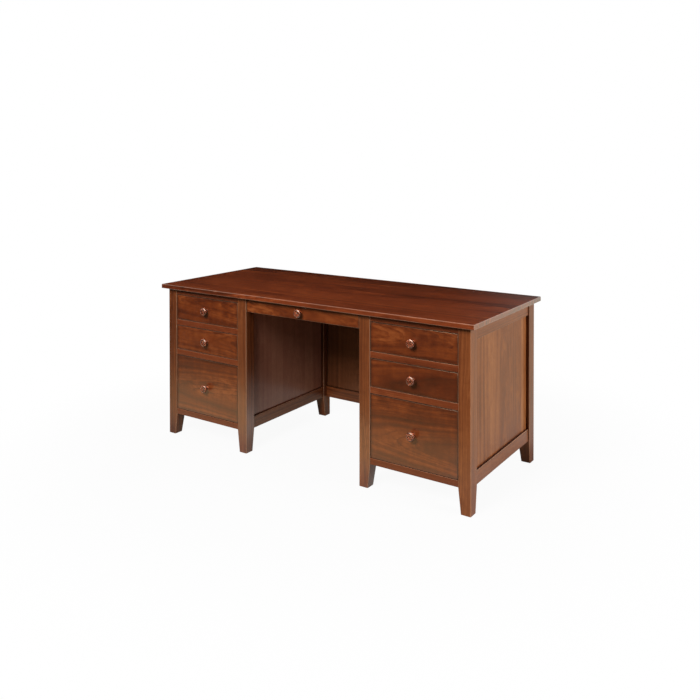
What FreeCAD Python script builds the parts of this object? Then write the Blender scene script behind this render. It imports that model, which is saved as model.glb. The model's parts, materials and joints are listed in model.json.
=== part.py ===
"""Executive desk: two pedestals of drawers, a pencil drawer over the kneehole and a solid wood top.

The origin is on the floor under the middle of the top. X runs along the desk to the right, Y from the
drawer faces to the back, and Z is up. The left pedestal is drawn in a frame of its own, which starts at
its outer front corner on the floor, and the right pedestal is its mirror image.
"""
import FreeCAD, Part
import os
from dataclasses import dataclass
from types import SimpleNamespace

import Sketcher

SIZES = {
    "desk_width": 1778,  # length of the top
    "desk_depth": 711,  # front to back of the top
    "desk_height": 768,  # floor to the top's upper face
    "top_thickness": 21,
    "top_edge_radius": 5,  # rounding of the upper edge
    "top_corner_radius": 6,  # rounding of the upright corners
    "top_under_ease": 2,  # chamfer of the lower edge
    "side_overhang": 26,  # top past the posts at each end
    "front_overhang": 26,
    "back_overhang": 19,
    "pedestal_width": 535,
    "post_width": 57,  # square section
    "post_ease": 2.5,  # chamfer of the upright edges
    "foot_height": 104,  # floor to the lowest rails
    "foot_width": 45,  # foot at the floor
    "rail_height": 57,  # side and back rails
    "rail_thickness": 25,
    "rail_setback": 6,  # rail behind the posts' outer face
    "rail_ease": 1.5,
    "panel_thickness": 8,
    "panel_setback": 16,  # panel behind the posts' outer face
    "groove_depth": 10,  # panel grooves in posts and rails
    "panel_play": 0.8,  # room for the panel to move in its grooves
    "tenon_length": 22,
    "tenon_shoulder": 8,  # rail edge to tenon
    "mortise_play": 1,  # mortise beyond the tenon's end
    "joint_clearance": 0.1,
    "front_rail_height": 28,
    "front_rail_thickness": 25,
    "front_rail_setback": 3,  # rails and drawer faces behind the posts' front
    "front_tenon_thickness": 9,
    "front_tenon_shoulder": 5,
    "top_opening": 128,  # height of the top drawer's opening
    "middle_opening": 124,
    "pencil_opening": 69,  # pencil drawer's share below the top
    "drawer_gap": 2.5,  # reveal all round a drawer face
    "face_thickness": 20,
    "face_ease": 2,
    "side_thickness": 12.5,  # drawer box sides
    "end_thickness": 15,  # drawer box ends
    "box_back_room": 62,  # behind a pedestal drawer's box, to the back frame
    "pencil_box_depth": 400,
    "box_lift": 10,  # box above the bottom of its opening
    "box_headroom": 14,  # box below the top of its opening
    "bottom_thickness": 6,
    "bottom_rise": 10,  # drawer bottom above the box's lower edge
    "bottom_groove": 5,
    "bottom_play": 0.3,
    "tail_flare": 2,  # each flank of a dovetail leans out by this
    "pin_width": 10,  # wood between two tails at their wide ends
    "box_tails": 3,
    "file_tails": 8,
    "pencil_tails": 2,
    "slide_thickness": 12.7,
    "slide_height": 45,
    "slide_inset": 2,  # slides start behind the drawer face
    "slide_gauge": 1.5,  # sheet steel
    "slide_clearance": 0.4,
    "ball_race": 4,  # intermediate member's flange with its row of balls
    "pencil_slide_height": 36,
    "pencil_slide_length": 350,
    "cleat_height": 50,
    "pencil_cleat_height": 40,
    "knob_diameter": 38,
    "knob_projection": 28,
    "knob_base_diameter": 20,
    "knob_neck_diameter": 15,
    "knob_neck_height": 9,  # from the drawer face to the narrowest part
    "knob_rim_height": 9,
    "knob_rim_radius": 3.5,
    "knob_ring_diameter": 23,  # inside of the raised ring
    "knob_dish_depth": 2,
    "knob_dish_slope": 2.5,  # run of the ring's inner wall
    "knob_button_depth": 1,  # centre of the dish below the ring
    "file_rail_spacing": 318,  # hanging-file bars, middle to middle
    "file_rail_thickness": 3,
    "file_rail_height": 16,
    "file_rail_stand": 4,  # bar above the box
    "bracket_leg": 22,
    "bracket_gauge": 2,
    "bracket_width": 20,
    "bracket_inset": 110,  # from the post to the bracket
}

doc = FreeCAD.newDocument("ExecutiveDesk")
sheet = doc.addObject("Spreadsheet::Sheet", "Sizes")
for row, (name, number) in enumerate(SIZES.items(), start=1):
    sheet.set(f"A{row}", name)
    sheet.set(f"B{row}", str(number))
    sheet.setAlias(f"B{row}", name)
doc.recompute()


class Size:
    """A length worked out from the sheet, as a number and as the expression that gives it."""

    def __init__(self, number, text):
        self.number = number
        self.text = text

    @staticmethod
    def of(value):
        return value if isinstance(value, Size) else Size(value, f"({value})")

    def __add__(self, other):
        other = Size.of(other)
        return Size(self.number + other.number, f"({self.text} + {other.text})")

    def __sub__(self, other):
        other = Size.of(other)
        return Size(self.number - other.number, f"({self.text} - {other.text})")

    def __mul__(self, other):
        other = Size.of(other)
        return Size(self.number * other.number, f"({self.text} * {other.text})")

    def __truediv__(self, other):
        other = Size.of(other)
        return Size(self.number / other.number, f"({self.text} / {other.text})")

    def __neg__(self):
        return self * -1


d = SimpleNamespace(**{name: Size(getattr(sheet, name), f"Sizes.{name}") for name in SIZES})
ZERO = Size.of(0)

# Places that several pieces share
under_top = d.desk_height - d.top_thickness
frame_left = d.side_overhang - d.desk_width / 2
frame_front = d.front_overhang - d.desk_depth / 2
frame_depth = d.desk_depth - d.front_overhang - d.back_overhang
pedestal_middle = frame_left + d.pedestal_width / 2
knee_face = frame_left + d.pedestal_width
opening_width = d.pedestal_width - d.post_width * 2
back_post_front = frame_depth - d.post_width
rail_inside = d.rail_setback + d.rail_thickness
lower_rail_top = d.foot_height + d.rail_height
upper_rail_bottom = under_top - d.rail_height
box_front = d.front_rail_setback + d.face_thickness
box_depth = frame_depth - rail_inside - d.box_back_room - box_front
file_opening = (under_top - d.foot_height - d.front_rail_height * 4
                - d.top_opening - d.middle_opening)
file_floor = d.foot_height + d.front_rail_height
middle_floor = file_floor + file_opening + d.front_rail_height
top_floor = middle_floor + d.middle_opening + d.front_rail_height
front_rail_levels = (d.foot_height, file_floor + file_opening,
                     middle_floor + d.middle_opening, top_floor + d.top_opening)
PEDESTAL = (frame_left, frame_front, ZERO)
KNEEHOLE = (ZERO, frame_front, ZERO)

PLANES = {"X": "YZ_Plane", "Y": "XZ_Plane", "Z": "XY_Plane"}


# Drawing tools

def origin_feature(body, role):
    """Returns a body's own origin plane or axis."""
    return next(item for item in body.Origin.OriginFeatures if item.Role == role)


def place(item, spot):
    """Binds an object's position to three sizes."""
    for axis, value in zip("xyz", spot):
        item.setExpression(f"Placement.Base.{axis}", value.text)


def new_body(label, spot):
    """Starts a body at a place in the desk."""
    body = doc.addObject("PartDesign::Body", label)
    body.Label = label
    place(body, spot)
    return body


def draw(sketch, corners):
    """Adds one closed outline of straight lines, with each corner held by two sizes."""
    first = sketch.GeometryCount
    count = len(corners)
    points = [FreeCAD.Vector(x.number, y.number, 0) for x, y in corners]
    sketch.addGeometry([Part.LineSegment(points[k], points[(k + 1) % count]) for k in range(count)])
    rules = [Sketcher.Constraint("Coincident", first + k, 2, first + (k + 1) % count, 1)
             for k in range(count)]
    sketch.addConstraint(rules)
    for k, corner in enumerate(corners):
        for kind, value in zip(("DistanceX", "DistanceY"), corner):
            rule = Sketcher.Constraint(kind, -1, 1, first + k, 1, float(value.number))
            index = sketch.addConstraint(rule)
            sketch.setExpression(f"Constraints[{index}]", value.text)


def sketch_across(body, axis, outlines, level):
    """Draws outlines on the plane square to an axis, at a distance along that axis."""
    sketch = body.newObject("Sketcher::SketchObject", f"{body.Name}_outline")
    sketch.AttachmentSupport = [(origin_feature(body, PLANES[axis]), "")]
    sketch.MapMode = "FlatFace"
    offset = -level if axis == "Y" else level
    sketch.setExpression("AttachmentOffset.Base.z", offset.text)
    for outline in outlines:
        draw(sketch, outline)
    return sketch


def extrude(body, kind, axis, outlines, low, high):
    """Pads or pockets outlines from low to high along an axis."""
    feature = body.newObject(f"PartDesign::{kind}", f"{body.Name}_{kind.lower()}")
    feature.Profile = sketch_across(body, axis, outlines, low)
    feature.setExpression("Length", (high - low).text)
    along_normal = axis != "Y"
    feature.Reversed = along_normal == (kind == "Pocket")
    body.Tip = feature
    return feature


def repeat_upwards(body, originals, pitch, count):
    """Repeats features along Z at an even pitch."""
    pattern = body.newObject("PartDesign::LinearPattern", f"{body.Name}_pattern")
    pattern.Originals = originals
    pattern.Direction = (origin_feature(body, "Z_Axis"), [""])
    pattern.setExpression("Length", (pitch * (count - 1)).text)
    pattern.setExpression("Occurrences", count.text)
    body.Tip = pattern


def soften(body, kind, base, names, measure, amount):
    """Adds a fillet or chamfer to named faces or edges of a feature."""
    feature = body.newObject(f"PartDesign::{kind}", f"{body.Name}_{kind.lower()}")
    feature.Base = (base, names)
    feature.setExpression(measure, amount.text)
    body.Tip = feature
    return feature


def face_at(feature, axis, level):
    """Names the flat face of a feature that lies at a level along an axis."""
    doc.recompute()
    low, high = f"{axis}Min", f"{axis}Max"
    for index, face in enumerate(feature.Shape.Faces, start=1):
        bounds = face.BoundBox
        if max(abs(getattr(bounds, low) - level), abs(getattr(bounds, high) - level)) < 1e-4:
            return f"Face{index}"
    raise RuntimeError(f"{feature.Label} has no face at {axis} {level}")


def rectangle(x_low, y_low, x_high, y_high):
    """Gives the corners of a rectangle."""
    return [(x_low, y_low), (x_high, y_low), (x_high, y_high), (x_low, y_high)]


def block(label, low, high, spot):
    """Makes a plain board or bar between two corners, given from a spot in the desk."""
    item = doc.addObject("Part::Box", label)
    item.Label = label
    for measure, start, end in zip(("Length", "Width", "Height"), low, high):
        item.setExpression(measure, (end - start).text)
    place(item, [start + offset for start, offset in zip(spot, low)])
    return item


def mirror(source, label, middle=ZERO):
    """Makes the mirror image of an object across an upright plane at X = middle."""
    copy = doc.addObject("Part::Mirroring", label)
    copy.Label = label
    copy.Source = source
    copy.Normal = FreeCAD.Vector(1, 0, 0)
    copy.setExpression("Base.x", middle.text)
    return copy


def group(label, members):
    """Gathers separate solids under one name."""
    item = doc.addObject("Part::Compound", label)
    item.Label = label
    item.Links = members
    return item


# The top

def desktop():
    """Makes the slab with its rounded upper edge and corners."""
    body = new_body("desktop", (ZERO, ZERO, under_top))
    half_width = d.desk_width / 2
    half_depth = d.desk_depth / 2
    outline = rectangle(-half_width, -half_depth, half_width, half_depth)
    slab = extrude(body, "Pad", "Z", [outline], ZERO, d.top_thickness)
    doc.recompute()
    upright = [f"Edge{index}" for index, edge in enumerate(slab.Shape.Edges, start=1)
               if abs(edge.tangentAt(edge.FirstParameter).z) > 0.5]
    corners = soften(body, "Fillet", slab, upright, "Radius", d.top_corner_radius)
    upper = face_at(corners, "Z", d.top_thickness.number)
    rounded = soften(body, "Fillet", corners, [upper], "Radius", d.top_edge_radius)
    soften(body, "Chamfer", rounded, [face_at(rounded, "Z", 0)], "Size", d.top_under_ease)
    return body


# Posts, rails and panels

def inward(start, direction):
    """Returns a function that measures distances inwards from an outer face."""
    return lambda distance: start + distance * direction


def span(across, near, far):
    """Puts two distances from a face into rising order."""
    return sorted((across(near), across(far)), key=lambda value: value.number)


def eased_square(across_x, across_y, width, ease):
    """Gives a post's section: a square with its four corners eased."""
    near, far = ease, width - ease
    steps = [(near, ZERO), (far, ZERO), (width, near), (width, far),
             (far, width), (near, width), (ZERO, far), (ZERO, near)]
    return [(across_x(x), across_y(y)) for x, y in steps]


def seat_frame(body, axis, across, along):
    """Cuts a post's panel groove and the mortises of an upper and a lower rail beside it.

    across measures from the outer face to the panel, and along goes into the post from its face.
    """
    clear = d.joint_clearance
    thick = span(across, d.panel_setback - clear, d.panel_setback + d.panel_thickness + clear)
    low = d.foot_height + d.tenon_shoulder - clear
    high = under_top - d.tenon_shoulder + clear
    lower_end = lower_rail_top - d.groove_depth + clear
    upper_start = upper_rail_bottom + d.groove_depth - clear
    groove = [rectangle(thick[0], low, thick[1], high)]
    mortises = [rectangle(thick[0], low, thick[1], lower_end),
                rectangle(thick[0], upper_start, thick[1], high)]
    extrude(body, "Pocket", axis, groove, *span(along, ZERO, d.groove_depth))
    extrude(body, "Pocket", axis, mortises, *span(along, ZERO, d.tenon_length + d.mortise_play))


def seat_front_rails(body, across_x, across_y):
    """Cuts the mortises of the four front rails into a front post."""
    clear = d.joint_clearance
    start = d.front_rail_setback + (d.front_rail_thickness - d.front_tenon_thickness) / 2
    y_low, y_high = start - clear, start + d.front_tenon_thickness + clear
    mortises = []
    for level in front_rail_levels:
        z_low = level + d.front_tenon_shoulder - clear
        z_high = level + d.front_rail_height - d.front_tenon_shoulder + clear
        mortises.append(rectangle(across_y(y_low), z_low, across_y(y_high), z_high))
    depth = d.post_width - d.tenon_length - d.mortise_play
    extrude(body, "Pocket", "X", mortises, *span(across_x, depth, d.post_width))


def post(label, corner_x, toward_x, corner_y, toward_y):
    """Makes a post with its tapered foot. Outer faces stay upright, and the two inner faces taper."""
    body = new_body(label, PEDESTAL)
    across_x = inward(corner_x, toward_x)
    across_y = inward(corner_y, toward_y)
    section = eased_square(across_x, across_y, d.post_width, d.post_ease)
    sole = eased_square(across_x, across_y, d.foot_width, d.post_ease)
    foot = body.newObject("PartDesign::AdditiveLoft", f"{body.Name}_foot")
    foot.Profile = sketch_across(body, "Z", [sole], ZERO)
    foot.Sections = [sketch_across(body, "Z", [section], d.foot_height)]
    foot.Ruled = True
    extrude(body, "Pad", "Z", [section], d.foot_height, under_top)
    from_side = inward(corner_y + d.post_width * toward_y, -toward_y)
    seat_frame(body, "Y", across_x, from_side)
    if toward_y > 0:
        seat_front_rails(body, across_x, across_y)
    else:
        seat_frame(body, "X", across_y, inward(corner_x + d.post_width * toward_x, -toward_x))
    if toward_y < 0 and toward_x < 0:
        seat_frame(body, "X", across_y, across_x)
    return body


def frame_rail(label, axis, spot, across, ends, free, toward):
    """Makes a side or back rail, grooved along one edge and tenoned at both ends.

    free is the height of the plain edge, and toward is the way from there to the grooved edge.
    """
    body = new_body(label, spot)
    clear = d.joint_clearance
    grooved = free + d.rail_height * toward
    floor = grooved - d.groove_depth * toward
    outer = across(d.rail_setback)
    eased = across(d.rail_setback + d.rail_ease)
    inner = across(rail_inside)
    near = across(d.panel_setback - clear)
    far = across(d.panel_setback + d.panel_thickness + clear)
    section = [(eased, free), (inner, free), (inner, grooved), (far, grooved), (far, floor),
               (near, floor), (near, grooved), (eased, grooved),
               (outer, grooved - d.rail_ease * toward), (outer, free + d.rail_ease * toward)]
    extrude(body, "Pad", axis, [section], *ends)
    tenon = rectangle(across(d.panel_setback), free + d.tenon_shoulder * toward,
                      across(d.panel_setback + d.panel_thickness), floor)
    extrude(body, "Pad", axis, [tenon], ends[0] - d.tenon_length, ends[1] + d.tenon_length)
    return body


def rail_pair(prefix, axis, spot, across, ends):
    """Makes the lower and the upper rail of one frame."""
    return [frame_rail(f"{prefix}_lower_rail", axis, spot, across, ends, d.foot_height, 1),
            frame_rail(f"{prefix}_upper_rail", axis, spot, across, ends, under_top, -1)]


def frame_panel(label, axis, spot, across, ends):
    """Makes a flat panel that stands in the grooves of its posts and rails."""
    reach = d.groove_depth - d.panel_play
    thick = span(across, d.panel_setback, d.panel_setback + d.panel_thickness)
    wide = (ends[0] - reach, ends[1] + reach)
    tall = (lower_rail_top - reach, upper_rail_bottom + reach)
    sides = (thick, wide, tall) if axis == "Y" else (wide, thick, tall)
    low, high = zip(*sides)
    return block(label, low, high, spot)


def front_rails(label):
    """Makes the top rail, the two drawer dividers and the bottom rail of a pedestal."""
    rails = []
    front = d.front_rail_setback
    back = front + d.front_rail_thickness
    tenon_front = front + (d.front_rail_thickness - d.front_tenon_thickness) / 2
    for number, level in enumerate(front_rail_levels, start=1):
        body = new_body(f"{label}_{number}", PEDESTAL)
        upper = level + d.front_rail_height
        section = [(front + d.rail_ease, level), (back, level), (back, upper),
                   (front + d.rail_ease, upper), (front, upper - d.rail_ease),
                   (front, level + d.rail_ease)]
        left, right = d.post_width, d.pedestal_width - d.post_width
        extrude(body, "Pad", "X", [section], left, right)
        tenon = rectangle(tenon_front, level + d.front_tenon_shoulder,
                          tenon_front + d.front_tenon_thickness, upper - d.front_tenon_shoulder)
        extrude(body, "Pad", "X", [tenon], left - d.tenon_length, right + d.tenon_length)
        rails.append(body)
    return group(label, rails)


# Drawers

@dataclass
class Drawer:
    """One drawer's place and sizes. The frame starts at the floor of its opening, at the posts' front."""

    name: str
    middle: Size
    floor: Size
    width: Size
    height: Size
    depth: Size
    tails: Size
    slide_height: Size
    slide_length: Size

    @property
    def spot(self):
        return (self.middle, frame_front, self.floor)

    @property
    def half_box(self):
        return self.width / 2 - d.slide_thickness

    @property
    def box_top(self):
        return self.height - d.box_headroom

    @property
    def box_back(self):
        return box_front + self.depth

    @property
    def slide_level(self):
        return self.floor + (d.box_lift + self.box_top) / 2


def drawer_face(drawer):
    """Makes a drawer's face with eased front edges."""
    body = new_body(f"{drawer.name}_face", drawer.spot)
    half = drawer.width / 2 - d.drawer_gap
    outline = rectangle(-half, d.drawer_gap, half, drawer.height - d.drawer_gap)
    board = extrude(body, "Pad", "Y", [outline], d.front_rail_setback, box_front)
    front = face_at(board, "Y", d.front_rail_setback.number)
    soften(body, "Chamfer", board, [front], "Size", d.face_ease)
    return body


def tail_pitch(drawer):
    """Gives the distance from one dovetail to the next."""
    return (drawer.box_top - d.box_lift) / drawer.tails


def tail_outline(drawer, tip, root, clear=ZERO):
    """Gives the lowest dovetail as a YZ outline, wide at its tip and narrower at its root."""
    middle = d.box_lift + tail_pitch(drawer) / 2
    wide = (tail_pitch(drawer) - d.pin_width) / 2 + clear
    narrow = wide - d.tail_flare
    return [(tip, middle - wide), (root, middle - narrow), (root, middle + narrow), (tip, middle + wide)]


def box_side(drawer):
    """Makes the left side of a drawer box, with dovetails at both ends and the bottom's groove."""
    body = new_body(f"{drawer.name}_side", drawer.spot)
    root_front = box_front + d.end_thickness
    root_back = drawer.box_back - d.end_thickness
    left = -drawer.half_box
    right = left + d.side_thickness
    outline = rectangle(root_front, d.box_lift, root_back, drawer.box_top)
    extrude(body, "Pad", "X", [outline], left, right)
    tails = extrude(body, "Pad", "X", [tail_outline(drawer, box_front, root_front),
                                       tail_outline(drawer, drawer.box_back, root_back)], left, right)
    repeat_upwards(body, [tails], tail_pitch(drawer), drawer.tails)
    low = d.box_lift + d.bottom_rise
    groove = rectangle(root_front - d.bottom_groove, low, root_back + d.bottom_groove,
                       low + d.bottom_thickness + d.bottom_play)
    extrude(body, "Pocket", "X", [groove], right - d.bottom_groove, right)
    return body


def box_end(drawer, label, outer, toward, bars):
    """Makes a drawer box's front or back, with sockets for the sides' dovetails."""
    body = new_body(f"{drawer.name}_{label}", drawer.spot)
    across = inward(outer, toward)
    half = drawer.half_box
    outline = rectangle(-half, d.box_lift, half, drawer.box_top)
    extrude(body, "Pad", "Y", [outline], *span(across, ZERO, d.end_thickness))
    clear = d.joint_clearance
    tail = tail_outline(drawer, outer, across(d.end_thickness), clear)
    depth = d.side_thickness + clear
    sockets = [extrude(body, "Pocket", "X", [tail], -half, depth - half),
               extrude(body, "Pocket", "X", [tail], half - depth, half)]
    repeat_upwards(body, sockets, tail_pitch(drawer), drawer.tails)
    low = d.box_lift + d.bottom_rise
    reach = half - d.side_thickness + d.bottom_groove
    groove = rectangle(-reach, low, reach, low + d.bottom_thickness + d.bottom_play)
    floor = d.end_thickness - d.bottom_groove
    extrude(body, "Pocket", "Y", [groove], *span(across, floor, d.end_thickness))
    if bars:
        seat = drawer.box_top + d.file_rail_stand - d.file_rail_height
        notches = [rectangle(low_x, seat, high_x, drawer.box_top + d.file_rail_stand)
                   for low_x, high_x in file_rail_places(clear)]
        extrude(body, "Pocket", "Y", notches, *span(across, ZERO, d.end_thickness))
    return body


def box_bottom(drawer):
    """Makes the drawer bottom that slides into the box's grooves."""
    reach = d.bottom_groove - d.bottom_play
    half = drawer.half_box - d.side_thickness + reach
    low_z = d.box_lift + d.bottom_rise
    margin = d.end_thickness - reach
    return block(f"{drawer.name}_bottom", (-half, box_front + margin, low_z),
                 (half, drawer.box_back - margin, low_z + d.bottom_thickness), drawer.spot)


def drawer_box(drawer, bars=False):
    """Makes the dovetailed box: two sides, two ends and the bottom."""
    side = box_side(drawer)
    pieces = [side, mirror(side, f"{drawer.name}_other_side", drawer.middle),
              box_end(drawer, "front_end", box_front, 1, bars),
              box_end(drawer, "back_end", drawer.box_back, -1, bars), box_bottom(drawer)]
    return group(f"{drawer.name}_box", pieces)


def file_rail_places(clear):
    """Gives the low and high X of the two hanging-file bars."""
    half = d.file_rail_thickness / 2 + clear
    middle = d.file_rail_spacing / 2
    return [(-middle - half, half - middle), (middle - half, middle + half)]


def file_rails(drawer):
    """Makes the two bars that hanging files ride on."""
    start = box_front + d.joint_clearance
    top = drawer.box_top + d.file_rail_stand
    bars = [block(f"{drawer.name}_bar_{number}", (low, start, top - d.file_rail_height),
                  (high, drawer.box_back, top), drawer.spot)
            for number, (low, high) in enumerate(file_rail_places(ZERO), start=1)]
    return group(f"{drawer.name}_file_rails", bars)


def knob(drawer):
    """Turns a knob: a waisted stem under a rounded rim, with a dished face and a low button."""
    body = new_body(f"{drawer.name}_knob",
                    (drawer.middle, frame_front + d.front_rail_setback, drawer.floor + drawer.height / 2))
    rim = d.knob_diameter / 2
    ring = d.knob_ring_diameter / 2
    face = -d.knob_projection
    profile = [(ZERO, ZERO), (d.knob_base_diameter / 2, ZERO),
               (d.knob_neck_diameter / 2, -d.knob_neck_height),
               (rim, face + d.knob_rim_height), (rim, face), (ring, face),
               (ring - d.knob_dish_slope, face + d.knob_dish_depth),
               (ZERO, face + d.knob_button_depth)]
    turned = body.newObject("PartDesign::Revolution", f"{body.Name}_turned")
    turned.Profile = sketch_across(body, "Z", [profile], ZERO)
    turned.ReferenceAxis = (turned.Profile[0], ["V_Axis"])
    turned.Angle = 360
    doc.recompute()
    widest = [f"Edge{index}" for index, edge in enumerate(turned.Shape.Edges, start=1)
              if isinstance(edge.Curve, Part.Circle) and abs(edge.Curve.Radius - rim.number) < 1e-4]
    soften(body, "Fillet", turned, widest, "Radius", d.knob_rim_radius)
    return body


def channel(label, drawer, back, lip, half, flange):
    """Makes one slide member: a channel with its web at back and its flanges ending at lip."""
    body = new_body(label, (drawer.middle, frame_front, drawer.slide_level))
    toward = 1 if lip.number > back.number else -1
    web = back + d.slide_gauge * toward
    inside = half - flange
    section = [(back, -half), (lip, -half), (lip, -inside), (web, -inside),
               (web, inside), (lip, inside), (lip, half), (back, half)]
    start = box_front + d.slide_inset
    extrude(body, "Pad", "Y", [section], start, start + drawer.slide_length)
    return body


def slide_members(drawer, carried):
    """Makes a drawer's left slide, outermost member first. carried adds the intermediate member."""
    wall = -drawer.width / 2
    box = wall + d.slide_thickness
    clear = d.slide_clearance
    half = drawer.slide_height / 2
    members = [channel(f"{drawer.name}_cabinet_member", drawer, wall, box - clear, half, d.slide_gauge)]
    web = wall + d.slide_gauge + clear
    half = half - d.slide_gauge - clear
    if carried:
        members.append(channel(f"{drawer.name}_middle_member", drawer, web, box - clear, half, d.ball_race))
        web = web + d.slide_gauge + clear
        half = half - d.ball_race - clear
    members.append(channel(f"{drawer.name}_drawer_member", drawer, box, web, half, d.slide_gauge))
    return members


def paired(drawer, member, label):
    """Groups a left slide member with its mirror image on the drawer's right."""
    return group(label, [member, mirror(member, f"{label}_right", drawer.middle)])


# Cleats and brackets

def pedestal_cleats(drawer):
    """Makes the two strips between the posts that carry a pedestal drawer's slides."""
    middle = drawer.slide_level
    half = d.cleat_height / 2
    cleats = []
    for side, near, toward in (("outer", ZERO, 1), ("knee", d.pedestal_width, -1)):
        left, right = span(inward(near, toward), rail_inside, d.post_width)
        cleats.append(block(f"{drawer.name}_{side}_cleat", (left, d.post_width, middle - half),
                            (right, back_post_front, middle + half), PEDESTAL))
    return cleats


def pencil_cleat(drawer):
    """Makes the strip that packs the left knee rail out to its posts, under the pencil drawer's slide."""
    half = d.pencil_cleat_height / 2
    end = box_front + d.slide_inset + drawer.slide_length
    return block("pencil_left_cleat", (knee_face - d.rail_setback, d.post_width, drawer.slide_level - half),
                 (knee_face, end, drawer.slide_level + half), KNEEHOLE)


def bracket(label, axis, spot, across, start):
    """Makes a steel angle that ties the top to the inside of a rail."""
    body = new_body(label, spot)
    face, bent, reach = (across(rail_inside + leg) for leg in (ZERO, d.bracket_gauge, d.bracket_leg))
    low = under_top - d.bracket_leg
    section = [(face, low), (bent, low), (bent, under_top - d.bracket_gauge),
               (reach, under_top - d.bracket_gauge), (reach, under_top), (face, under_top)]
    extrude(body, "Pad", axis, [section], start, start + d.bracket_width)
    return body


def left_brackets(outer, knee):
    """Makes two brackets on each side rail of the left pedestal."""
    starts = (d.post_width + d.bracket_inset, back_post_front - d.bracket_inset - d.bracket_width)
    return [bracket(f"{side}_bracket_{number}", "Y", PEDESTAL, across, start)
            for side, across in (("outer", outer), ("knee", knee))
            for number, start in enumerate(starts, start=1)]


# The assembly

def build():
    """Makes every piece and returns the objects that become files."""
    outer = inward(ZERO, 1)
    knee = inward(d.pedestal_width, -1)
    back = inward(frame_depth, -1)
    side_ends = (d.post_width, back_post_front)
    back_ends = (d.post_width, d.pedestal_width - d.post_width)
    knee_ends = (knee_face, -knee_face)

    drawers = [
        Drawer("left_top_drawer", pedestal_middle, top_floor, opening_width, d.top_opening,
               box_depth, d.box_tails, d.slide_height, box_depth),
        Drawer("left_middle_drawer", pedestal_middle, middle_floor, opening_width, d.middle_opening,
               box_depth, d.box_tails, d.slide_height, box_depth),
        Drawer("left_file_drawer", pedestal_middle, file_floor, opening_width, file_opening,
               box_depth, d.file_tails, d.slide_height, box_depth),
    ]
    pencil = Drawer("pencil_drawer", ZERO, under_top - d.pencil_opening, -knee_face * 2, d.pencil_opening,
                    d.pencil_box_depth, d.pencil_tails, d.pencil_slide_height, d.pencil_slide_length)

    left = [
        post("left_outer_front_post", ZERO, 1, ZERO, 1),
        post("left_knee_front_post", d.pedestal_width, -1, ZERO, 1),
        post("left_outer_back_post", ZERO, 1, frame_depth, -1),
        post("left_knee_back_post", d.pedestal_width, -1, frame_depth, -1),
        front_rails("left_front_rails"),
        group("left_side_rails", rail_pair("left_outer", "Y", PEDESTAL, outer, side_ends)
              + rail_pair("left_knee", "Y", PEDESTAL, knee, side_ends)),
        frame_panel("left_outer_panel", "Y", PEDESTAL, outer, side_ends),
        frame_panel("left_knee_panel", "Y", PEDESTAL, knee, side_ends),
        frame_panel("left_back_panel", "X", PEDESTAL, back, back_ends),
    ]
    cleats = [pencil_cleat(pencil)]
    cabinet_members = []
    for drawer in drawers:
        outside, carrier, inside = slide_members(drawer, True)
        left += [drawer_face(drawer), drawer_box(drawer, drawer.name == "left_file_drawer"), knob(drawer),
                 paired(drawer, carrier, f"{drawer.name}_carriers"),
                 paired(drawer, inside, f"{drawer.name}_slides")]
        cabinet_members += [outside, mirror(outside, f"{drawer.name}_cabinet_right", drawer.middle)]
        cleats += pedestal_cleats(drawer)
    left.append(file_rails(drawers[-1]))

    outside, inside = slide_members(pencil, False)
    cabinet_members.append(outside)
    centre = [
        desktop(), drawer_face(pencil), drawer_box(pencil), knob(pencil),
        paired(pencil, inside, "pencil_drawer_slides"),
        frame_panel("modesty_panel", "X", KNEEHOLE, back, knee_ends),
    ]
    back_rails = rail_pair("left_back", "X", PEDESTAL, back, back_ends)
    back_rails += [mirror(rail, rail.Label.replace("left", "right")) for rail in back_rails]
    back_rails += rail_pair("modesty", "X", KNEEHOLE, back, knee_ends)
    brackets = left_brackets(outer, knee)
    shared = [group("back_rails", back_rails)]
    for label, half in (("slide_cleats", cleats), ("cabinet_slide_members", cabinet_members),
                        ("top_brackets", brackets)):
        shared.append(group(label, half + [mirror(item, f"{item.Label}_mirrored") for item in half]))
    right = [mirror(item, item.Label.replace("left", "right")) for item in left]
    return centre + left + right + shared


def check(nodes):
    """Stops if anything failed to build, a cut removed nothing or a piece isn't sound."""
    for item in doc.Objects:
        if {"Invalid", "Error"} & set(item.State):
            raise RuntimeError(f"{item.Label} failed: {item.State}")
        if item.TypeId == "PartDesign::Pocket" and item.Shape.Volume >= item.BaseFeature.Shape.Volume:
            raise RuntimeError(f"{item.Label} cuts nothing")
    for item in nodes:
        if item.Shape.isNull() or not item.Shape.isValid() or not item.Shape.Solids:
            raise RuntimeError(f"{item.Label} has no sound shape")


nodes = build()
doc.recompute()
check(nodes)
os.makedirs("parts", exist_ok=True)
for item in nodes:
    item.Shape.exportStep(f"parts/{item.Label}.step")
print(f"{len(nodes)} pieces, {sum(len(item.Shape.Solids) for item in nodes)} solids")
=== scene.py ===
"""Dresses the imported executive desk: stained hardwood, maple drawer boxes, zinc slides and a white studio.

Everything is in metres in the desk's own frame: the floor at Z 0, the drawer faces towards -Y.
"""

import json
import logging
import math
import random
from collections.abc import Iterable, Sequence
from dataclasses import dataclass, replace
from enum import Enum

import bmesh
import bpy
from mathutils import Matrix, Vector

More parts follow.
